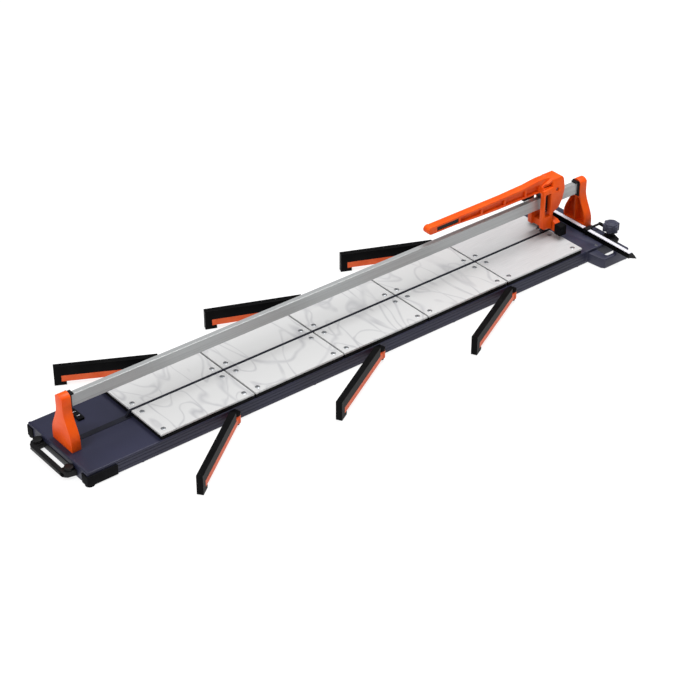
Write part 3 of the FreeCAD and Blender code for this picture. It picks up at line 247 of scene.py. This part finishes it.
def ruled_strip():
    """Bright anodised scale: brushed aluminium with a printed black mark every 10 mm, longer every 50 mm."""
    made, tree, shader, place = begin("Anodised scale", "#e6e6ee", 0.2, 0.35)
    split = add(tree, "ShaderNodeSeparateXYZ", links={0: place})
    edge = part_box("ruler_strip")[1].x
    marks = []
    for pitch, thick, length in ((10 * MM, 0.6 * MM, 3 * MM), (50 * MM, 0.8 * MM, 6 * MM)):
        along = add(tree, "ShaderNodeMath", {"operation": "PINGPONG", 1: pitch / 2},
                    {0: split.outputs[1]})
        near = add(tree, "ShaderNodeMath", {"operation": "LESS_THAN", 1: thick / 2},
                   {0: along.outputs[0]})
        reach = add(tree, "ShaderNodeMath", {"operation": "GREATER_THAN", 1: edge - length},
                    {0: split.outputs[0]})
        marks.append(add(tree, "ShaderNodeMath", {"operation": "MULTIPLY"},
                         {0: near.outputs[0], 1: reach.outputs[0]}).outputs[0])
    either = add(tree, "ShaderNodeMath", {"operation": "MAXIMUM"}, {0: marks[0], 1: marks[1]})
    shade_between(tree, shader, either.outputs[0], "#e6e6ee", "#3a3a40", 0.2, 0.8)
    raise_by(tree, shader, grain(tree, place, 1 * MM, (1, 0.02, 1)), 0.01 * MM)
    return made


def moulded_plastic(name, colour, other, roughness, gloss=0.2):
    """Glass filled nylon: matt, spark-eroded mould grain of about 0.5 mm, drawn at 1.5 mm."""
    made, tree, shader, place = begin(name, colour, 0.0, roughness, gloss)
    shade_between(tree, shader, grain(tree, place, 0.03), colour, other)
    raise_by(tree, shader, grain(tree, place, 1.5 * MM, detail=3), 0.06 * MM)
    return made


def black_rubber():
    """Moulded black rubber: dull, a little dusty, with fine 2 mm skin texture."""
    made, tree, shader, place = begin("Moulded rubber", "#08080a", 0.0, 0.8, 0.1)
    shade_between(tree, shader, grain(tree, place, 0.02), "#08080a", "#101013")
    raise_by(tree, shader, grain(tree, place, 2 * MM, detail=3), 0.1 * MM)
    return made


def black_coated_extrusion():
    """Black coated aluminium bar: satin, with drawing lines about 2 mm apart."""
    made, tree, shader, place = begin("Black coated aluminium", "#060607", 0.0, 0.45, 0.05)
    shade_between(tree, shader, grain(tree, place, 0.04), "#050506", "#0a0a0b")
    raise_by(tree, shader, grain(tree, place, 2 * MM, (0.4, 0.4, 1)), 0.05 * MM)
    return made


def plated_steel(name, colour, roughness):
    """Turned steel, zinc plated or hardened: bright, with 0.5 mm turning marks drawn at 1 mm."""
    made, tree, shader, place = begin(name, colour, 1.0, roughness)
    turned = grain(tree, place, 1 * MM)
    rough_between(tree, shader, turned, roughness - 0.06, roughness + 0.1)
    raise_by(tree, shader, turned, 0.01 * MM)
    return made


FINISH = {
    "base_paint": powder_coated_steel(),
    "cast_base": painted_casting(),
    # The rib is a real dark part. Its near-black colour is partly painted shade: it stands for the shadow along
    # its low step and in the gap between the plates.
    "rib_black": moulded_plastic("Dark blue rib, darkened as painted shade", "#14151f", "#1a1b27", 0.6),
    "plate_aluminium": ground_aluminium_marbled(),
    "fastener_steel": plated_steel("Zinc plated steel", "#b9bcc0", 0.3),
    "orange_casting": orange_painted_casting(),
    "rail_aluminium": anodised_rail(),
    "strip_aluminium": ruled_strip(),
    "black_plastic": moulded_plastic("Glass filled nylon, black", "#09090a", "#101012", 0.45),
    "arm_black": black_coated_extrusion(),
    "arm_orange": moulded_plastic("Nylon, orange", "#d2501f", "#dc5e30", 0.45),
    "bracket_black": black_coated_extrusion(),
    "knob_plastic": moulded_plastic("Glass filled nylon, grey", "#3a3b49", "#444555", 0.42),
    "carriage_grey": moulded_plastic("Black anodised aluminium", "#1d1e22", "#26272b", 0.4),
    "bearing_steel": plated_steel("Hardened steel", "#8f9296", 0.25),
}
FINISH["cushion_rubber"] = black_rubber()
PLAIN_PLATE = ground_aluminium_plain()


def finish_of(node):
    """The finish of a node's slot. The plates of the last column have a plain face."""
    if node in PLATES and node.endswith(LAST_COLUMN):
        return PLAIN_PLATE
    return FINISH[SLOT_OF[node]]


def dress(piece, material):
    """Gives a piece one material all over."""
    piece.data.materials.clear()
    piece.data.materials.append(material)
    for face in piece.data.polygons:
        face.material_index = 0


for name, node_object in frame["nodes"].items():
    for slot in node_object.material_slots:
        slot.material = finish_of(name)


# ---------------------------------------------------------------- pieces
def deselect():
    for piece in bpy.context.selected_objects:
        piece.select_set(False)


def take(piece):
    """Makes one object the only selected and active one."""
    deselect()
    piece.select_set(True)
    bpy.context.view_layer.objects.active = piece


def apply_modifier(piece, kind, **settings):
    """Adds a modifier and makes its result the piece's own mesh."""
    take(piece)
    modifier = piece.modifiers.new(kind.lower(), kind)
    for key, value in settings.items():
        setattr(modifier, key, value)
    bpy.ops.object.modifier_apply(modifier=modifier.name)


def settle(piece, name, node, smooth=35):
    """Names a finished piece, puts its place in its mesh, and gives it a node's body and finish. Faces
    that meet flatter than smooth, in degrees, are shaded as one."""
    take(piece)
    bpy.ops.object.transform_apply(location=True, rotation=True, scale=True)
    bpy.ops.object.shade_smooth_by_angle(angle=math.radians(smooth))
    piece.name = name
    piece.data.name = name
    dress(piece, finish_of(node))
    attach(piece, BODY_OF[node])


def softened(node, width, segments=3):
    """The node's shape with its edges rounded over, as a casting or moulding has them."""
    source = frame["nodes"][node]
    piece = bpy.data.objects.new(node + "_rounded", source.data.copy())
    bpy.context.scene.collection.objects.link(piece)
    take(piece)
    bpy.ops.object.mode_set(mode="EDIT")
    bpy.ops.mesh.select_all(action="SELECT")
    bpy.ops.mesh.remove_doubles(threshold=MERGE_DISTANCE)
    bpy.ops.mesh.dissolve_limited(angle_limit=FLAT_ANGLE)
    bpy.ops.object.mode_set(mode="OBJECT")
    apply_modifier(piece, "BEVEL", width=width, segments=segments, limit_method="ANGLE",
                   angle_limit=ROUNDED_ANGLE, use_clamp_overlap=True, harden_normals=False,
                   miter_outer="MITER_ARC")
    settle(piece, node + "_rounded", node)
    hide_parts(node)


def bevelled(piece, width, segments=2):
    """Rounds the sharp edges of a new piece."""
    apply_modifier(piece, "BEVEL", width=width, segments=segments, limit_method="ANGLE",
                   angle_limit=BEVEL_ANGLE)


def make_screw_heads():
    """Socket head screws of the plates: a head with a rounded rim and a hexagon socket."""
    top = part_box("plate_screws")[1].z
    heads = []
    for plate in PLATES:
        corner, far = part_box(plate)
        for x in (corner.x + PLATE_SCREW_EDGE, far.x - PLATE_SCREW_EDGE):
            for y in (corner.y + PLATE_SCREW_EDGE, far.y - PLATE_SCREW_EDGE):
                deselect()
                bpy.ops.mesh.primitive_cylinder_add(vertices=24, radius=SCREW_HEAD_R, depth=SCREW_HEAD,
                                                    location=(x, y, top - SCREW_HEAD / 2))
                head = bpy.context.object
                bevelled(head, SCREW_EDGE)
                bpy.ops.mesh.primitive_cylinder_add(vertices=6, radius=SOCKET_R, depth=SCREW_HEAD,
                                                    location=(x, y, top))
                socket = bpy.context.object
                apply_modifier(head, "BOOLEAN", object=socket, operation="DIFFERENCE", solver="EXACT")
                bpy.data.objects.remove(socket)
                heads.append(head)
    take(heads[0])
    for head in heads:
        head.select_set(True)
    bpy.ops.object.join()
    settle(heads[0], "plate_socket_screws", "plate_screws", 30)
    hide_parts("plate_screws")


def make_grip_end():
    """Round end of the lever's grip."""
    centre = (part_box("lever")[0].x + GRIP_END_R, 0, PIVOT_HEIGHT + GRIP_END_RISE)
    deselect()
    bpy.ops.mesh.primitive_cylinder_add(vertices=48, radius=GRIP_END_R + GRIP_END_PROUD,
                                        depth=2 * GRIP_END_HALF, location=centre,
                                        rotation=(math.pi / 2, 0, 0))
    end = bpy.context.object
    bevelled(end, GRIP_END_EDGE, 5)
    settle(end, "grip_round_end", "lever", 50)


def make_buffer_clips():
    """Two bright spring clips that hold the buffer block at the end of the rail."""
    low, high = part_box("end_buffer")
    for number, share in enumerate(CLIP_SHARES, start=1):
        y = low.y + share * (high.y - low.y)
        deselect()
        bpy.ops.mesh.primitive_cube_add(size=1, location=((low.x + high.x) / 2, y, high.z))
        clip = bpy.context.object
        clip.scale = (CLIP_LENGTH_SHARE * (high.x - low.x), CLIP_WIDTH, CLIP_HEIGHT)
        bpy.ops.object.transform_apply(location=False, rotation=False, scale=True)
        bevelled(clip, CLIP_EDGE)
        settle(clip, "buffer_clip_" + str(number), "tower_bolts")


for node, radius in SOFTENED.items():
    softened(node, radius * MM)
make_screw_heads()
make_grip_end()
make_buffer_clips()


# ---------------------------------------------------------------- floor, light and camera
def make_floor():
    """Pale paper floor, lit a little from below as on a light table, so that it stays white."""
    bpy.ops.mesh.primitive_plane_add(size=FLOOR_SIZE)
    floor = bpy.context.object
    floor.name = "floor"
    made, _, shader, _ = begin("White paper floor", "#8c8c8c", 0.0, 0.95, 0.0)
    shader.inputs["Emission Color"].default_value = linear("#ffffff")
    shader.inputs["Emission Strength"].default_value = FLOOR_GLOW
    dress(floor, made)


def make_light(name, place, aim, size, power):
    """A round area light that points at aim."""
    deselect()
    bpy.ops.object.light_add(type="AREA", location=place)
    light = bpy.context.object
    light.name = name
    light.data.shape = "DISK"
    light.data.size = size
    light.data.energy = power
    light.rotation_euler = (Vector(aim) - Vector(place)).to_track_quat("-Z", "Y").to_euler()


def make_camera():
    """The camera looks down from the front left. No roll, shift or depth of field."""
    deselect()
    bpy.ops.object.camera_add(location=CAMERA_PLACE)
    camera = bpy.context.object
    camera.rotation_euler = Vector(CAMERA_AIM).to_track_quat("-Z", "Y").to_euler()
    camera.data.lens = CAMERA_LENS
    camera.data.sensor_width = CAMERA_SENSOR
    camera.data.dof.use_dof = False
    bpy.context.scene.camera = camera


def make_world():
    """A studio with a bright ceiling and darker walls, so that flat gloss surfaces keep their own colour."""
    world = bpy.data.worlds.new("Studio")
    world.use_nodes = True
    tree = world.node_tree
    tree.nodes.clear()
    way = add(tree, "ShaderNodeTexCoord").outputs["Generated"]
    height = add(tree, "ShaderNodeSeparateXYZ", links={0: way}).outputs[2]
    fade = add(tree, "ShaderNodeMapRange", {
        "From Min": WALL_TOP, "From Max": CEILING, "To Min": WALL_LIGHT, "To Max": CEILING_LIGHT,
        "interpolation_type": "SMOOTHSTEP"}, {"Value": height})
    back = add(tree, "ShaderNodeBackground", {"Color": linear("#ffffff")}, {"Strength": fade.outputs[0]})
    add(tree, "ShaderNodeOutputWorld", links={"Surface": back.outputs[0]})
    bpy.context.scene.world = world
    bpy.context.scene.view_settings.view_transform = "Standard"


deselect()
make_floor()
make_camera()
make_world()
for light in LIGHTS:
    make_light(*light)
